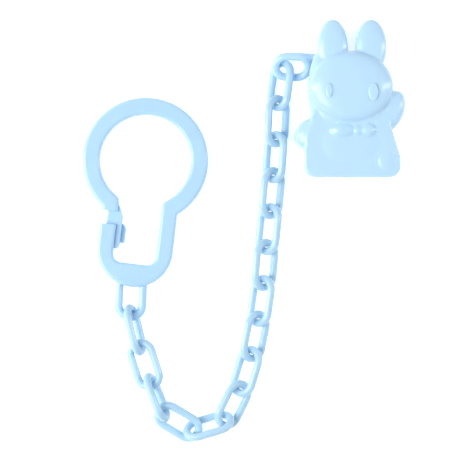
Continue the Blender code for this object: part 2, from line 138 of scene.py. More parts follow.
class HolderSizes(bpy.types.PropertyGroup):
    """Sizes of the holder's pieces."""

    link_bar: length("Link bar radius", "Radius of the round bar of a chain link", 1.23 * MM)
    link_bend: length("Link bend radius", "Radius of a link's round ends, to the middle of its bar", 3.65 * MM)
    link_straight: length("Link straight length", "Length of a link's straight sides", 7.15 * MM)
    parting_ridge: length("Parting ridge", "Height of the fine mould line round each link", 0.035 * MM)
    ring_outer: length("Ring outer radius", "Outer radius of the snap ring's round part", 20.08 * MM)
    ring_inner: length("Ring inner radius", "Inner radius of the snap ring's round part", 14.6 * MM)
    ring_thick: length("Ring thickness", "Thickness of the snap ring", 4.93 * MM)
    ring_edge: length("Ring edge radius", "Radius of the snap ring's long edges", 1.0 * MM)
    ring_turn: angle("Ring turn", "Turn of the snap ring on the table", -6.63)
    ring_tilt: angle("Ring tilt", "Tilt of the snap ring towards its eye", -1.6)
    eye_bar: length("Eye bar radius", "Radius of the bar of the snap ring's eye", 1.32 * MM)
    clip_voxel: length("Clip fineness", "Grid size at which the clip's parts are fused", 0.34 * MM)
    clip_soften: bpy.props.IntProperty(
        name="Clip softening", description="Smoothing rounds after the clip's parts are fused", default=7, min=0
    )
    pin_radius: length("Pin radius", "Radius of the hinge pin", 0.9 * MM)
    wire_radius: length("Spring wire radius", "Radius of the torsion spring's wire", 0.4 * MM)
    camera_height: length("Camera height", "Height of the camera above the table", 0.8)
    view_width: length("View width", "Width of the table that the camera sees", 0.14848)


class HolderColours(bpy.types.PropertyGroup):
    """Colours and finish of the holder's pieces."""

    ring: colour("Ring", "Plastic of the snap ring", (0.455, 0.695, 0.94))
    link: colour("Links", "Plastic of the chain links", (0.455, 0.675, 0.85))
    clip: colour("Clip", "Plastic of the rabbit clip", (0.51, 0.745, 0.965))
    steel: colour("Steel", "Hinge pin and spring", (0.60, 0.60, 0.62))
    floor: colour("Floor", "Plain pale floor", (0.93, 0.93, 0.93))
    gloss: share("Plastic roughness", "Roughness of the moulded plastic", 0.17)
    cloud: share("Cloudiness", "How much the plastic's tint varies", 0.35)


# ---------------------------------------------------------------- modelling helpers
def nothing_selected():
    if bpy.context.object and bpy.context.object.mode != "OBJECT":
        bpy.ops.object.mode_set(mode="OBJECT")
    bpy.ops.object.select_all(action="DESELECT")


def only(obj):
    nothing_selected()
    obj.select_set(True)
    bpy.context.view_layer.objects.active = obj
    return obj


def edit(obj):
    only(obj)
    bpy.ops.object.mode_set(mode="EDIT")
    bpy.ops.mesh.select_mode(type="VERT")


def leave_edit():
    bpy.ops.object.mode_set(mode="OBJECT")


def settle(obj, matrix):
    """Puts a piece in its place and writes the place into its mesh."""
    only(obj)
    obj.matrix_world = matrix @ obj.matrix_world
    bpy.context.view_layer.update()
    bpy.ops.object.transform_apply(location=True, rotation=True, scale=True)
    return obj


def tidy_mesh(obj, distance=1e-6):
    """Welds doubles and turns all faces outwards."""
    edit(obj)
    bpy.ops.mesh.select_all(action="SELECT")
    bpy.ops.mesh.remove_doubles(threshold=distance)
    bpy.ops.mesh.normals_make_consistent(inside=False)
    leave_edit()
    return obj


def apply_modifier(obj, kind, **settings):
    only(obj)
    modifier = obj.modifiers.new(kind.title(), kind)
    for name, value in settings.items():
        setattr(modifier, name, value)
    bpy.ops.object.modifier_apply(modifier=modifier.name)


def combine(target, operation, *tools):
    """Unites the target with each tool, or cuts each tool from it."""
    for tool in tools:
        apply_modifier(target, "BOOLEAN", operation=operation, solver="EXACT", object=tool)
        bpy.data.objects.remove(tool, do_unlink=True)
    return target


def fuse(obj, voxel, rounds):
    """Fuses overlapping shapes into one moulded skin with soft corners."""
    apply_modifier(obj, "REMESH", mode="VOXEL", voxel_size=voxel)
    apply_modifier(obj, "SMOOTH", factor=0.5, iterations=rounds)
    return obj


def draw(name, start, moves):
    """A wire drawn from a point by straight extrusions and spins: ("to", point) or ("turn", centre, degrees, steps)."""
    nothing_selected()
    bpy.ops.mesh.primitive_plane_add(size=MM)
    obj = bpy.context.active_object
    obj.name = name
    edit(obj)
    bpy.ops.mesh.select_all(action="SELECT")
    bpy.ops.mesh.merge(type="CENTER")
    here = Vector(start)
    bpy.ops.transform.translate(value=here * MM)
    for move in moves:
        if move[0] == "to":
            there = Vector(move[1])
            bpy.ops.mesh.extrude_vertices_move(TRANSFORM_OT_translate={"value": (there - here) * MM})
        else:
            centre = Vector(move[1])
            turn = math.radians(move[2])
            bpy.ops.mesh.spin(steps=move[3], angle=-turn, center=centre * MM, axis=Z_AXIS)
            there = centre + Matrix.Rotation(turn, 3, "Z") @ (here - centre)
        here = there
    bpy.ops.mesh.select_all(action="SELECT")
    bpy.ops.mesh.remove_doubles(threshold=1e-7)
    leave_edit()
    return obj


def slab(name, outline, thickness):
    """A straight slab over a closed outline of points, extruded along a vector."""
    obj = draw(name, outline[0], [("to", point) for point in (*outline[1:], outline[0])])
    edit(obj)
    bpy.ops.mesh.select_all(action="SELECT")
    bpy.ops.mesh.edge_face_add()
    bpy.ops.mesh.extrude_region_move(TRANSFORM_OT_translate={"value": Vector(thickness) * MM})
    leave_edit()
    return tidy_mesh(obj)


def block(name, low, high):
    outline = [(low[0], low[1], low[2]), (high[0], low[1], low[2]), (high[0], high[1], low[2]), (low[0], high[1], low[2])]
    return slab(name, outline, (0, 0, high[2] - low[2]))


def rod(name, start, end, radius, sides=32):
    """A straight round bar between two points."""
    start, end = Vector(start), Vector(end)
    nothing_selected()
    bpy.ops.mesh.primitive_cylinder_add(vertices=sides, radius=radius * MM, depth=(end - start).length * MM)
    obj = bpy.context.active_object
    obj.name = name
    facing = (end - start).to_track_quat("Z", "Y").to_matrix().to_4x4()
    return settle(obj, Matrix.Translation((start + end) / 2 * MM) @ facing)


def bent_bar(name, start, radius, moves, sides=24, closed=False):
    """A round bar that leaves its start along -y, then follows straight extrusions and spins about z."""
    nothing_selected()
    here = Vector(start)
    bpy.ops.mesh.primitive_circle_add(
        vertices=sides, radius=radius * MM, location=here * MM, rotation=(math.radians(90), 0, 0)
    )
    obj = bpy.context.active_object
    obj.name = name
    bpy.ops.object.transform_apply(location=True, rotation=True, scale=True)
    edit(obj)
    bpy.ops.mesh.select_all(action="SELECT")
    for move in moves:
        if move[0] == "by":
            bpy.ops.mesh.extrude_region_move(TRANSFORM_OT_translate={"value": Vector(move[1]) * MM})
        else:
            centre, turn = Vector(move[1]), math.radians(move[2])
            bpy.ops.mesh.spin(steps=move[3], angle=-turn, center=centre * MM, axis=Z_AXIS)
    bpy.ops.mesh.select_all(action="SELECT")
    bpy.ops.mesh.remove_doubles(threshold=1e-6)
    if not closed:
        bpy.ops.mesh.select_all(action="SELECT")
        bpy.ops.mesh.fill_holes(sides=0)
    leave_edit()
    return tidy_mesh(obj)


def oblong(name, bar, bend, straight, steps=18, sides=24):
    """A closed oval loop of round bar, lying flat with its long side along y."""
    moves = [
        ("turn", (0, -straight / 2, 0), -180, steps),
        ("by", (0, straight, 0)),
        ("turn", (0, straight / 2, 0), -180, steps),
        ("by", (0, -straight, 0)),
    ]
    return bent_bar(name, (bend, -straight / 2, 0), bar, moves, sides, closed=True)


def puck(name, shape, shrink=0.0, low=0.0, lowered=None, fullness=2.0, draft=0.0, sides=64):
    """A turned oval: a wall from low to its shoulder, then a crown whose fullness is 2 for an ellipse."""
    centre, half, turn, shoulder, top = shape
    if lowered:
        shoulder, top = lowered
    radius = half[0] - shrink
    moves = [("to", (radius, 0, low)), ("to", (radius * (1 - draft), 0, shoulder))]
    steps = 10
    for i in range(1, steps + 1):
        t = math.radians(90 * i / steps)
        out = max(math.cos(t), 0.0) ** (2 / fullness)
        up = math.sin(t) ** (2 / fullness)
        moves.append(("to", (radius * (1 - draft) * out, 0, shoulder + (top - shoulder) * up)))
    obj = draw(name, (0, 0, low), moves)
    edit(obj)
    bpy.ops.mesh.select_all(action="SELECT")
    bpy.ops.mesh.spin(steps=sides, angle=math.radians(360), center=(0, 0, 0), axis=Z_AXIS)
    leave_edit()
    tidy_mesh(obj)
    oval = Matrix.Diagonal((1.0, (half[1] - shrink) / radius, 1.0, 1.0))
    spin = Matrix.Rotation(math.radians(turn), 4, "Z")
    return settle(obj, Matrix.Translation(Vector((centre[0], centre[1], 0)) * MM) @ spin @ oval)


def finished(obj, name, material, smooth_angle=38):
    only(obj)
    obj.name = name
    obj.data.name = name
    bpy.ops.object.shade_smooth_by_angle(angle=math.radians(smooth_angle))
    obj.data.materials.clear()
    obj.data.materials.append(material)
    return obj


# ---------------------------------------------------------------- materials
def add_node(tree, kind, x, y, **settings):
    node = tree.nodes.new(kind)
    node.location = (x, y)
    for name, value in settings.items():
        setattr(node, name, value)
    return node


def socket(group, name, direction, kind="NodeSocketFloat", default=None):
    made = group.interface.new_socket(name=name, in_out=direction, socket_type=kind)
    if default is not None:
        made.default_value = default
    return made


def moulded_group():
    """Colour, roughness and height of moulded plastic: cloudy tint, flow streaks, fine scuffs, soft skin."""
    found = bpy.data.node_groups.get("Moulded plastic")
    if found:
        return found
    group = bpy.data.node_groups.new("Moulded plastic", "ShaderNodeTree")
    socket(group, "Colour", "INPUT", "NodeSocketColor", (0.5, 0.75, 0.95, 1.0))
    socket(group, "Cloudiness", "INPUT", default=0.35)
    socket(group, "Roughness", "INPUT", default=0.25)
    socket(group, "Grain size", "INPUT", default=1.0)
    socket(group, "Colour", "OUTPUT", "NodeSocketColor")
    socket(group, "Roughness", "OUTPUT")
    socket(group, "Height", "OUTPUT")
    links = group.links
    inside = add_node(group, "NodeGroupInput", -1100, 0)
    outside = add_node(group, "NodeGroupOutput", 700, 0)
    place = add_node(group, "ShaderNodeTexCoord", -1100, -300)
    size = add_node(group, "ShaderNodeVectorMath", -900, -300, operation="SCALE")
    links.new(place.outputs["Object"], size.inputs[0])
    links.new(inside.outputs["Grain size"], size.inputs["Scale"])
    cloud = add_node(group, "ShaderNodeTexNoise", -650, 250)
    cloud.inputs["Scale"].default_value = 90.0
    cloud.inputs["Detail"].default_value = 3.0
    streak_map = add_node(group, "ShaderNodeMapping", -850, 0, vector_type="TEXTURE")
    streak_map.inputs["Scale"].default_value = (1.0, 2.2, 1.0)
    streak_map.inputs["Rotation"].default_value = (0.0, 0.0, math.radians(24))
    streak = add_node(group, "ShaderNodeTexNoise", -650, 0)
    streak.inputs["Scale"].default_value = 170.0
    streak.inputs["Detail"].default_value = 4.0
    scuff_map = add_node(group, "ShaderNodeMapping", -850, -500, vector_type="TEXTURE")
    scuff_map.inputs["Scale"].default_value = (1.0, 14.0, 1.0)
    scuff_map.inputs["Rotation"].default_value = (0.3, 0.2, math.radians(-37))
    scuff = add_node(group, "ShaderNodeTexNoise", -650, -500)
    scuff.inputs["Scale"].default_value = 2600.0
    scuff.inputs["Detail"].default_value = 2.0
    skin = add_node(group, "ShaderNodeTexNoise", -650, -750)
    skin.inputs["Scale"].default_value = 900.0
    skin.inputs["Detail"].default_value = 2.0
    links.new(size.outputs[0], cloud.inputs["Vector"])
    links.new(size.outputs[0], streak_map.inputs["Vector"])
    links.new(size.outputs[0], scuff_map.inputs["Vector"])
    links.new(size.outputs[0], skin.inputs["Vector"])
    links.new(streak_map.outputs[0], streak.inputs["Vector"])
    links.new(scuff_map.outputs[0], scuff.inputs["Vector"])
    both = add_node(group, "ShaderNodeMath", -400, 150, operation="MULTIPLY_ADD")
    both.inputs[1].default_value = 0.35
    links.new(streak.outputs["Fac"], both.inputs[0])
    links.new(cloud.outputs["Fac"], both.inputs[2])
    spread = add_node(group, "ShaderNodeMapRange", -200, 150)
    spread.inputs["From Min"].default_value = 0.45
    spread.inputs["From Max"].default_value = 0.95
    spread.inputs["To Min"].default_value = 0.93
    spread.inputs["To Max"].default_value = 1.06
    links.new(both.outputs[0], spread.inputs["Value"])
    tinted = add_node(group, "ShaderNodeHueSaturation", 50, 200)
    links.new(inside.outputs["Colour"], tinted.inputs["Color"])
    links.new(spread.outputs[0], tinted.inputs["Value"])
    mixed = add_node(group, "ShaderNodeMix", 300, 200, data_type="RGBA")
    links.new(inside.outputs["Cloudiness"], mixed.inputs["Factor"])
    links.new(inside.outputs["Colour"], mixed.inputs[6])
    links.new(tinted.outputs[0], mixed.inputs[7])
    links.new(mixed.outputs[2], outside.inputs["Colour"])
    marks = add_node(group, "ShaderNodeMapRange", -200, -400)
    marks.inputs["From Min"].default_value = 0.64
    marks.inputs["From Max"].default_value = 0.76
    marks.inputs["To Min"].default_value = 0.0
    marks.inputs["To Max"].default_value = 0.10
    links.new(scuff.outputs["Fac"], marks.inputs["Value"])
    uneven = add_node(group, "ShaderNodeMath", -200, -150, operation="MULTIPLY_ADD")
    uneven.inputs[1].default_value = 0.08
    links.new(cloud.outputs["Fac"], uneven.inputs[0])
    links.new(inside.outputs["Roughness"], uneven.inputs[2])
    rough = add_node(group, "ShaderNodeMath", 300, -150, operation="ADD", use_clamp=True)
    links.new(uneven.outputs[0], rough.inputs[0])
    links.new(marks.outputs[0], rough.inputs[1])
    links.new(rough.outputs[0], outside.inputs["Roughness"])
    height = add_node(group, "ShaderNodeMath", 300, -500, operation="MULTIPLY_ADD")
    height.inputs[1].default_value = -0.25
    links.new(marks.outputs[0], height.inputs[0])
    links.new(skin.outputs["Fac"], height.inputs[2])
    links.new(height.outputs[0], outside.inputs["Height"])
    return group


def new_material(name):
    material = bpy.data.materials.new(name)
    material.use_nodes = True
    return material, material.node_tree, material.node_tree.nodes["Principled BSDF"]


def plastic(name, tint, finish, grain=1.0):
    """Glossy, slightly translucent moulded plastic."""
    material, tree, shader = new_material(name)
    group = add_node(tree, "ShaderNodeGroup", -500, 200)
    group.node_tree = moulded_group()
    group.inputs["Colour"].default_value = (*tint, 1.0)
    group.inputs["Cloudiness"].default_value = finish.cloud
    group.inputs["Roughness"].default_value = finish.gloss
    group.inputs["Grain size"].default_value = grain
    bump = add_node(tree, "ShaderNodeBump", -250, -100)
    bump.inputs["Strength"].default_value = 0.04
    bump.inputs["Distance"].default_value = 0.05 * MM
    tree.links.new(group.outputs["Colour"], shader.inputs["Base Color"])
    tree.links.new(group.outputs["Roughness"], shader.inputs["Roughness"])
    tree.links.new(group.outputs["Height"], bump.inputs["Height"])
    tree.links.new(bump.outputs["Normal"], shader.inputs["Normal"])
    shader.inputs["IOR"].default_value = 1.49
    shader.inputs["Subsurface Weight"].default_value = 0.25
    shader.inputs["Subsurface Radius"].default_value = (0.6, 0.9, 1.0)
    shader.inputs["Subsurface Scale"].default_value = 1.6 * MM
    return material


def steel(name, tint):
    """Drawn steel: fine streaks along the wire in its roughness and tint."""
    material, tree, shader = new_material(name)
    place = add_node(tree, "ShaderNodeTexCoord", -1000, 0)
    along = add_node(tree, "ShaderNodeMapping", -800, 0)
    along.inputs["Scale"].default_value = (0.1, 1.0, 1.0)
    streak = add_node(tree, "ShaderNodeTexNoise", -600, 0)
    streak.inputs["Scale"].default_value = 5200.0
    streak.inputs["Detail"].default_value = 3.0
    tint_range = add_node(tree, "ShaderNodeMapRange", -400, 150)
    tint_range.inputs["To Min"].default_value = 0.86
    tint_range.inputs["To Max"].default_value = 1.1
    rough_range = add_node(tree, "ShaderNodeMapRange", -400, -150)
    rough_range.inputs["To Min"].default_value = 0.24
    rough_range.inputs["To Max"].default_value = 0.46
    shade = add_node(tree, "ShaderNodeHueSaturation", -200, 150)
    shade.inputs["Color"].default_value = (*tint, 1.0)
    tree.links.new(place.outputs["Object"], along.inputs["Vector"])
    tree.links.new(along.outputs[0], streak.inputs["Vector"])
    tree.links.new(streak.outputs["Fac"], tint_range.inputs["Value"])
    tree.links.new(streak.outputs["Fac"], rough_range.inputs["Value"])
    tree.links.new(tint_range.outputs[0], shade.inputs["Value"])
    tree.links.new(shade.outputs[0], shader.inputs["Base Color"])
    tree.links.new(rough_range.outputs[0], shader.inputs["Roughness"])
    shader.inputs["Metallic"].default_value = 1.0
    return material


def material_for(kind):
    found = bpy.data.materials.get(kind)
    if found:
        return found
    finish = bpy.context.scene.holder_colours
    if kind == "drawn_steel":
        return steel(kind, finish.steel)
    tints = {"ring_plastic": finish.ring, "link_plastic": finish.link, "clip_plastic": finish.clip}
    return plastic(kind, tints[kind], finish)


# ---------------------------------------------------------------- places read from the frame
def joint_place(name):
    return Vector(JOINTS[name]["pos_m"])


def clip_place():
    """The clip's own origin: its hinge is the jaw joint."""
    return Matrix.Translation(joint_place("jaw") - HINGE * MM)


def ring_place(sizes):
    """The snap ring's own frame: the crown of the ring is on the flex joint."""
    facing = Matrix.Rotation(sizes.ring_turn, 4, "Z") @ Matrix.Rotation(sizes.ring_tilt, 4, "X")
    crown = Vector((0, (sizes.ring_outer + sizes.ring_inner) / 2, 0))
    return Matrix.Translation(joint_place("ring_flex") - facing @ crown) @ facing


def link_place(number):
    """A link's frame: its far bar is on the next joint, which turns about the link's width."""
    low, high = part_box(LINK_NAMES[number])
    after = LINK_NAMES[number + 1] + "_swing" if number + 1 < len(LINK_NAMES) else "ring_swing"
    middle = (low + high) / 2
    along = (joint_place(after) - middle).normalized()
    across = Vector(JOINTS[after]["axis"])
    across = (across - along * across.dot(along)).normalized()
    axes = Matrix((across, along, across.cross(along))).transposed().to_4x4()
    return Matrix.Translation(middle) @ axes


# ---------------------------------------------------------------- operators
class HOLDER_OT_links(bpy.types.Operator):
    """Builds the loose oval links of the chain"""

    bl_idname = "holder.links"
    bl_label = "Chain links"

    def execute(self, context):
        sizes = context.scene.holder_sizes
        bar, bend, straight = (x / MM for x in (sizes.link_bar, sizes.link_bend, sizes.link_straight))
        pattern = oblong("link_pattern", bar, bend, straight)
        edit(pattern)
        bpy.ops.mesh.select_all(action="DESELECT")
        work = bmesh.from_edit_mesh(pattern.data)
        for vertex in work.verts:
            vertex.select = abs(vertex.co.z) < 1e-6
        work.select_flush_mode()
        bmesh.update_edit_mesh(pattern.data)
        bpy.ops.transform.shrink_fatten(value=sizes.parting_ridge)
        leave_edit()
        for number, name in enumerate(LINK_NAMES):
            only(pattern)
            bpy.ops.object.duplicate()
            link = settle(context.active_object, link_place(number))
            finished(link, f"{name}_moulded", material_for("link_plastic"), 60)
            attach(link, name)
            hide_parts(name)
        bpy.data.objects.remove(pattern, do_unlink=True)
        return {"FINISHED"}


NECK_OUTER = 12.1
NECK_INNER = 6.9
NECK_FILLET = 2.6
TAIL_OUTER_Y = -28.6
TAIL_INNER_Y = -33.3
TAIL_CORNER = 2.8
ARM_END_Y = -17.2
SOCKET_TOP_Y = -21.5
SEAM_ANGLE = 37.0


def ring_blank(sizes):
    """The whole snap ring as one rounded plate with its opening."""
    outer_r, inner_r = sizes.ring_outer / MM, sizes.ring_inner / MM
    meet = math.degrees(math.acos(NECK_OUTER / outer_r))
    shoulder_y = -outer_r * math.sin(math.radians(meet))
    outer = draw("ring_outer", (NECK_OUTER, TAIL_OUTER_Y, 0), [
        ("to", (NECK_OUTER, shoulder_y, 0)),
        ("turn", (0, 0, 0), 180 + 2 * meet, 110),
        ("to", (-NECK_OUTER, TAIL_OUTER_Y, 0)),
        ("turn", (0, TAIL_OUTER_Y, 0), 180, 60),
    ])
    fillet = Vector((NECK_INNER + NECK_FILLET, 0, 0))
    fillet.y = -math.sqrt((inner_r + NECK_FILLET) ** 2 - fillet.x**2)
    lean = math.degrees(math.atan2(-fillet.y, fillet.x))
    corner = Vector((NECK_INNER - TAIL_CORNER, TAIL_INNER_Y + TAIL_CORNER, 0))
    inner = draw("ring_inner", (NECK_INNER, corner.y, 0), [
        ("to", (NECK_INNER, fillet.y, 0)),
        ("turn", fillet, -lean, 10),
        ("turn", (0, 0, 0), 180 + 2 * lean, 100),
        ("turn", (-fillet.x, fillet.y, 0), -lean, 10),
        ("to", (-NECK_INNER, corner.y, 0)),
        ("turn", (-corner.x, corner.y, 0), 90, 12),
        ("to", (corner.x, TAIL_INNER_Y, 0)),
        ("turn", corner, 90, 12),
    ])
    only(outer)
    inner.select_set(True)
    bpy.ops.object.join()
    bpy.ops.object.convert(target="CURVE")
    plate = bpy.context.active_object
    plate.data.dimensions = "2D"
    plate.data.fill_mode = "BOTH"
    plate.data.extrude = sizes.ring_thick / 2 - sizes.ring_edge
    plate.data.bevel_depth = sizes.ring_edge
    plate.data.bevel_resolution = 6
    plate.data.offset = -sizes.ring_edge
    bpy.ops.object.convert(target="MESH")
    plate = bpy.context.active_object
    return tidy_mesh(plate)


def flat_faces(obj, upright):
    """Shades the faces that lie across a direction as true flats, with no bend at their edges."""
    edit(obj)
    bpy.ops.mesh.select_mode(type="FACE")
    bpy.ops.mesh.select_all(action="DESELECT")
    work = bmesh.from_edit_mesh(obj.data)
    for face in work.faces:
        face.select = abs(face.normal.dot(upright)) > 0.9999
    bmesh.update_edit_mesh(obj.data)
    bpy.ops.mesh.faces_shade_flat()
    leave_edit()


def ring_side(name, low_y, far=30.0):
    """A block over the ring's left side and crown, from the seam round to a height on the left."""
    seam = Vector((math.cos(math.radians(SEAM_ANGLE)), math.sin(math.radians(SEAM_ANGLE)), 0)) * far
    outline = [(0, 0, -far), seam - Z_AXIS * far, (seam.x, far, -far), (-far, far, -far), (-far, low_y, -far), (0, low_y, -far)]
    return slab(name, outline, (0, 0, 2 * far))


class HOLDER_OT_ring(bpy.types.Operator):
    """Builds the snap ring: a springy arm with its tongue, and the frame with its socket, guide and eye"""

    bl_idname = "holder.ring"
    bl_label = "Snap ring"

    def execute(self, context):
        sizes = context.scene.holder_sizes
        place = ring_place(sizes)
        material = material_for("ring_plastic")
        blank = ring_blank(sizes)
        only(blank)
        bpy.ops.object.duplicate()
        frame_part = context.active_object

        arm = combine(blank, "INTERSECT", ring_side("arm_side", ARM_END_Y))
        tongue = slab("tongue", [
            (-10.2, -14.5, -0.75), (-10.2, -26.8, -0.75), (-8.8, -29.0, -0.75), (-5.9, -29.0, -0.75),
            (-5.1, -28.0, -0.75), (-5.1, -18.6, -0.75), (-6.9, -14.5, -0.75),
        ], (0, 0, 1.5))
        self.soften(tongue, 0.35)
        combine(arm, "UNION", tongue)
        settle(arm, place)
        finished(arm, "snap_arm", material, 30)
        flat_faces(arm, place.to_3x3() @ Z_AXIS)
        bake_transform(arm)
        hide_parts("ring_arm")

        combine(frame_part, "DIFFERENCE", ring_side("arm_room", SOCKET_TOP_Y))
        combine(frame_part, "DIFFERENCE", block("slot", (-10.45, -31.4, -1.0), (-4.9, -16.5, 1.0)))
        guide = draw("guide", (-8.5, -27.0, -2.5), [
            ("to", (-3.7, -27.0, -2.5)), ("to", (-3.7, -23.0, -2.5)), ("turn", (-6.1, -23.0, -2.5), 90, 10),
            ("to", (-8.5, -20.6, -2.5)), ("to", (-8.5, -27.0, -2.5)),
        ])
        edit(guide)
        bpy.ops.mesh.select_all(action="SELECT")
        bpy.ops.mesh.edge_face_add()
        bpy.ops.mesh.extrude_region_move(TRANSFORM_OT_translate={"value": (0, 0, 1.45 * MM)})
        leave_edit()
        tidy_mesh(guide)
        self.soften(guide, 0.2)
        combine(frame_part, "UNION", guide)
        rise = 9.0
        eye = bent_bar("eye", (3.78, rise, 0), sizes.eye_bar / MM, [
            ("by", (0, -rise, 0)), ("turn", (0, 0, 0), -180, 24), ("by", (0, rise, 0)),
        ])
        lean = Matrix.Rotation(math.radians(4.2), 4, "Z")
        settle(eye, Matrix.Translation(Vector((0.88, -50.3, 0)) * MM) @ lean @ Matrix.Translation(Vector((0, 3.78, 0)) * MM))
        combine(frame_part, "UNION", eye)
        settle(frame_part, place)
        finished(frame_part, "snap_frame", material, 30)
        flat_faces(frame_part, place.to_3x3() @ Z_AXIS)
        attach(frame_part, "ring_frame")
        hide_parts("ring_frame")
        return {"FINISHED"}

    def soften(self, obj, radius):
        edit(obj)
        bpy.ops.mesh.select_all(action="SELECT")
        bpy.ops.mesh.bevel(offset=radius * MM, segments=3, affect="EDGES", clamp_overlap=True)
        leave_edit()


def lug(name, x, base, top):
    """An upright plate on the hinge, with a round end about the pin."""
    y, z = HINGE.y, HINGE.z
    ends = [x - LUG_HALF_WIDTH, x + LUG_HALF_WIDTH]
    plate = block(name, (ends[0], y - LUG_RADIUS, min(base, top)), (ends[1], y + LUG_RADIUS, max(base, top)))
    return combine(plate, "UNION", rod(name + "_end", (ends[0], y, z), (ends[1], y, z), LUG_RADIUS, 40))


def teeth(target, first_x, count, base, tip):
    for step in range(count):
        x = first_x + TOOTH_PITCH * step
        outline = [(x - TOOTH_HALF, TOOTH_Y, base), (x + TOOTH_HALF, TOOTH_Y, base), (x, TOOTH_Y, tip)]
        combine(target, "UNION", slab("tooth", outline, (0, TOOTH_LENGTH, 0)))


def seat(name, shrink, low, top):
    outline = []
    for x, y in SEAT:
        outline.append((x + math.copysign(shrink, 34 - x), y + math.copysign(shrink, 29 - y), low))
    return slab(name, outline, (0, 0, top - low))


def round_top(obj, radius):
    """Rounds the edges of a slab's upper face."""
    top = max(corner[2] for corner in obj.bound_box)
    edit(obj)
    bpy.ops.mesh.select_all(action="DESELECT")
    work = bmesh.from_edit_mesh(obj.data)
    for edge in work.edges:
        edge.select = all(abs(v.co.z - top) < 1e-6 for v in edge.verts)
    bmesh.update_edit_mesh(obj.data)
    bpy.ops.mesh.bevel(offset=radius * MM, segments=6, affect="EDGES")
    leave_edit()
    return tidy_mesh(obj)


class HOLDER_OT_rabbit(bpy.types.Operator):
    """Builds the clip's front jaw, the rabbit"""

    bl_idname = "holder.rabbit"
    bl_label = "Rabbit jaw"

    def execute(self, context):
        sizes = context.scene.holder_sizes
        low = 3.2
        shell = puck("rabbit", HEAD, low=low, fullness=3.4, draft=0.03)
        for name, shape in RABBIT.items():
            combine(shell, "UNION", puck(name, shape, low=low, fullness=3.0, draft=0.03))
        combine(shell, "UNION", round_top(seat("seat", 0.0, low, SEAT_TOP), SEAT_EDGE))
        for centre, half in BOW:
            combine(shell, "UNION", puck("bow", (centre, half, 0, 12.3, 13.4), low=9.0, sides=32))
        combine(shell, "DIFFERENCE", puck("hollow_head", HOLLOW_HEAD, low=0))
        combine(shell, "DIFFERENCE", puck("hollow_body", HOLLOW_BODY, low=0))
        combine(shell, "DIFFERENCE", block("handle_gap", (0, 49.3, 0), (70, 90, 8.6)))
        for side in (-1, 1):
            combine(shell, "UNION", lug("front_lug", HINGE.x + side * FRONT_LUG_X, HINGE.z, LUG_ROOF))
        bore = rod("bore", HINGE - Vector((8, 0, 0)), HINGE + Vector((8, 0, 0)), 1.2)
        combine(shell, "DIFFERENCE", bore)
        teeth(shell, 26.4, 5, 9.8, low)
        fuse(shell, sizes.clip_voxel, sizes.clip_soften)
        for centre, half in EYES:
            combine(shell, "UNION", puck("eye", (centre, half, 0, 15.3, 15.58), low=13.0, fullness=3.0, sides=48))
        settle(shell, clip_place())
        finished(shell, "rabbit_front", material_for("clip_plastic"), 50)
        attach(shell, "clip_front")
        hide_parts("clip_front")
        return {"FINISHED"}


class HOLDER_OT_rear_jaw(bpy.types.Operator):
    """Builds the clip's rear jaw with the loop that holds the chain"""

    bl_idname = "holder.rear_jaw"
    bl_label = "Rear jaw"

    def execute(self, context):
        sizes = context.scene.holder_sizes
        jaw = puck("rear_jaw", HEAD, shrink=1.3, lowered=(2.1, 2.6))
        for name, shape in RABBIT.items():
            if name != "arm_right":
                combine(jaw, "UNION", puck(name, shape, shrink=1.3, lowered=(2.1, 2.6)))
        combine(jaw, "UNION", seat("seat", 1.3, 0.0, 2.1))
        for side in (-1, 1):
            combine(jaw, "UNION", lug("back_lug", HINGE.x + side * BACK_LUG_X, 1.3, HINGE.z))
        combine(jaw, "DIFFERENCE", rod("bore", HINGE - Vector((12, 0, 0)), HINGE + Vector((12, 0, 0)), 1.2))
        teeth(jaw, 28.3, 4, 1.3, 4.8)
        upright = (LOOP_HIGH - LOOP_LOW) / 2
        straight = LOOP_RIGHT_X - LOOP_LEFT_X - 2 * upright.length
        loop = oblong("loop", 1.31, upright.length, straight)
        middle = (LOOP_HIGH + LOOP_LOW) / 2 + Vector(((LOOP_LEFT_X + LOOP_RIGHT_X) / 2, 0, 0))
        turn = Matrix((Vector((0, upright.y, upright.z)).normalized(), Vector((1, 0, 0)), Vector((0, upright.z, -upright.y)).normalized()))
        settle(loop, Matrix.Translation(middle * MM) @ turn.transposed().to_4x4())
        post = block("post", LOOP_ROOT - Vector((1.5, 1.5, 4.55)), LOOP_ROOT + Vector((1.5, 1.5, 1.22)))
        neck = rod("neck", (middle.x, LOOP_HIGH.y, LOOP_HIGH.z), LOOP_ROOT, 1.33)
        combine(jaw, "UNION", loop, neck, post)
        fuse(jaw, sizes.clip_voxel, sizes.clip_soften)
        settle(jaw, clip_place())
        finished(jaw, "rabbit_back", material_for("clip_plastic"), 80)
        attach(jaw, "clip_back")
        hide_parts("clip_back")
        return {"FINISHED"}


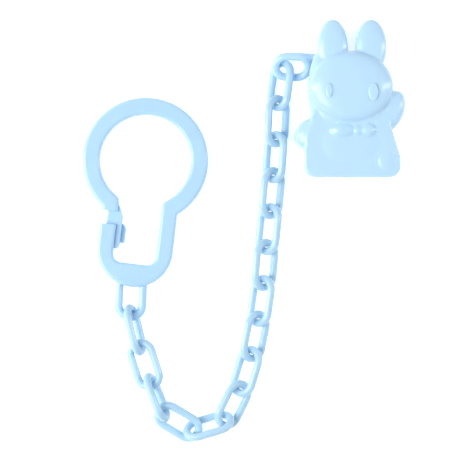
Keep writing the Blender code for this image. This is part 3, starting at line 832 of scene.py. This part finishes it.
class HOLDER_OT_hinge(bpy.types.Operator):
    """Builds the hinge pin and the torsion spring"""

    bl_idname = "holder.hinge"
    bl_label = "Hinge pin and spring"

    def execute(self, context):
        sizes = context.scene.holder_sizes
        place = clip_place() @ Matrix.Translation(HINGE * MM)
        half = 8.8
        pin = rod("pin", (-half, 0, 0), (half, 0, 0), sizes.pin_radius / MM, 40)
        edit(pin)
        bpy.ops.mesh.select_all(action="DESELECT")
        work = bmesh.from_edit_mesh(pin.data)
        for edge in work.edges:
            if all(abs(abs(v.co.x) - half * MM) < 1e-6 for v in edge.verts):
                edge.select = True
        bmesh.update_edit_mesh(pin.data)
        bpy.ops.mesh.bevel(offset=0.25 * MM, segments=4, affect="EDGES")
        leave_edit()
        settle(pin, place)
        finished(pin, "hinge_pin_turned", material_for("drawn_steel"), 40)
        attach(pin, "clip_back")
        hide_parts("hinge_pin")

        wire = sizes.wire_radius / MM
        turns, coil, leg = 4.5, 1.85, 9.0
        pitch = 2 * wire + 0.15
        start_x = -0.5 * pitch * turns
        nothing_selected()
        bpy.ops.mesh.primitive_circle_add(
            vertices=14, radius=sizes.wire_radius, location=Vector((start_x, 0, -coil)) * MM, rotation=(math.radians(90), 0, 0)
        )
        spring = context.active_object
        bpy.ops.object.transform_apply(location=True, rotation=True, scale=True)
        apply_modifier(
            spring, "SCREW", axis="X", angle=math.radians(360 * turns), screw_offset=pitch * turns * MM,
            steps=int(turns * 28), render_steps=int(turns * 28), use_merge_vertices=False, use_smooth_shade=True,
        )
        for x, rise in ((start_x, -0.25), (-start_x, -0.9)):
            edit(spring)
            bpy.ops.mesh.select_all(action="DESELECT")
            work = bmesh.from_edit_mesh(spring.data)
            for edge in work.edges:
                if edge.is_boundary and abs((edge.verts[0].co.x + edge.verts[1].co.x) / 2 - x * MM) < 0.6 * MM:
                    edge.select = True
            bmesh.update_edit_mesh(spring.data)
            bpy.ops.mesh.extrude_region_move(TRANSFORM_OT_translate={"value": Vector((0, leg, rise)) * MM})
            leave_edit()
        edit(spring)
        bpy.ops.mesh.select_all(action="SELECT")
        bpy.ops.mesh.fill_holes(sides=0)
        leave_edit()
        tidy_mesh(spring)
        settle(spring, place)
        finished(spring, "torsion_spring", material_for("drawn_steel"), 60)
        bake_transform(spring)
        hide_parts("clip_spring")
        return {"FINISHED"}


class HOLDER_OT_stage(bpy.types.Operator):
    """Builds the pale floor, the soft lights and the camera straight above"""

    bl_idname = "holder.stage"
    bl_label = "Stage"

    def execute(self, context):
        sizes = context.scene.holder_sizes
        colours = context.scene.holder_colours
        nothing_selected()
        bpy.ops.mesh.primitive_plane_add(size=6.0, location=(0, 0, -0.02 * MM))
        floor = context.active_object
        floor.name = "floor"
        material, tree, shader = new_material("pale_floor")
        shader.inputs["Base Color"].default_value = (*colours.floor, 1.0)
        shader.inputs["Roughness"].default_value = 0.9
        shader.inputs["Specular IOR Level"].default_value = 0.1
        shader.inputs["Emission Color"].default_value = (1.0, 1.0, 1.0, 1.0)
        shader.inputs["Emission Strength"].default_value = 0.52
        floor.data.materials.append(material)

        world = bpy.data.worlds.new("studio")
        context.scene.world = world
        world.use_nodes = True
        sky = world.node_tree.nodes["Background"]
        sky.inputs["Color"].default_value = (0.97, 0.985, 1.0, 1.0)
        sky.inputs["Strength"].default_value = 0.34
        for name, place, width, height, power in (
            ("key_softbox", (-0.50, -0.10, 0.75), 0.55, 0.55, 5.7),
            ("right_strip", (0.62, 0.10, 0.34), 0.08, 0.80, 2.0),
            ("left_strip", (-0.66, 0.05, 0.22), 0.08, 0.80, 2.4),
        ):
            bpy.ops.object.light_add(type="AREA", location=place)
            light = context.active_object
            light.name = name
            light.data.shape = "RECTANGLE"
            light.data.size = width
            light.data.size_y = height
            light.data.energy = power
            light.rotation_euler = (-Vector(place)).to_track_quat("-Z", "Y").to_euler()

        clip = clip_place().translation
        aim = clip + Vector((-3.70, 0.61, 0)) * MM
        bpy.ops.object.camera_add(location=(aim.x, aim.y, sizes.camera_height), rotation=(0, 0, 0))
        camera = context.active_object
        camera.data.sensor_width = 36.0
        camera.data.lens = 36.0 * (sizes.camera_height - 4 * MM) / sizes.view_width
        context.scene.camera = camera
        context.scene.view_settings.view_transform = "Standard"
        return {"FINISHED"}


class HOLDER_PT_panel(bpy.types.Panel):
    """Lists the holder's operators"""

    bl_idname = "HOLDER_PT_panel"
    bl_label = "Pacifier holder chain"
    bl_space_type = "VIEW_3D"
    bl_region_type = "UI"
    bl_category = "Holder"

    def draw(self, context):
        for operator in OPERATORS:
            self.layout.operator(operator.bl_idname)
        for group in (context.scene.holder_sizes, context.scene.holder_colours):
            box = self.layout.box()
            for name in group.__annotations__:
                box.prop(group, name)


OPERATORS = (
    HOLDER_OT_links,
    HOLDER_OT_ring,
    HOLDER_OT_rabbit,
    HOLDER_OT_rear_jaw,
    HOLDER_OT_hinge,
    HOLDER_OT_stage,
)
CLASSES = (HolderSizes, HolderColours, *OPERATORS, HOLDER_PT_panel)


def register():
    for item in CLASSES:
        bpy.utils.register_class(item)
    bpy.types.Scene.holder_sizes = bpy.props.PointerProperty(type=HolderSizes)
    bpy.types.Scene.holder_colours = bpy.props.PointerProperty(type=HolderColours)


def unregister():
    del bpy.types.Scene.holder_colours
    del bpy.types.Scene.holder_sizes
    for item in reversed(CLASSES):
        bpy.utils.unregister_class(item)


def main():
    register()
    bpy.ops.holder.links()
    bpy.ops.holder.ring()
    bpy.ops.holder.rabbit()
    bpy.ops.holder.rear_jaw()
    bpy.ops.holder.hinge()
    bpy.ops.holder.stage()
    nothing_selected()


if __name__ == "__main__":
    main()
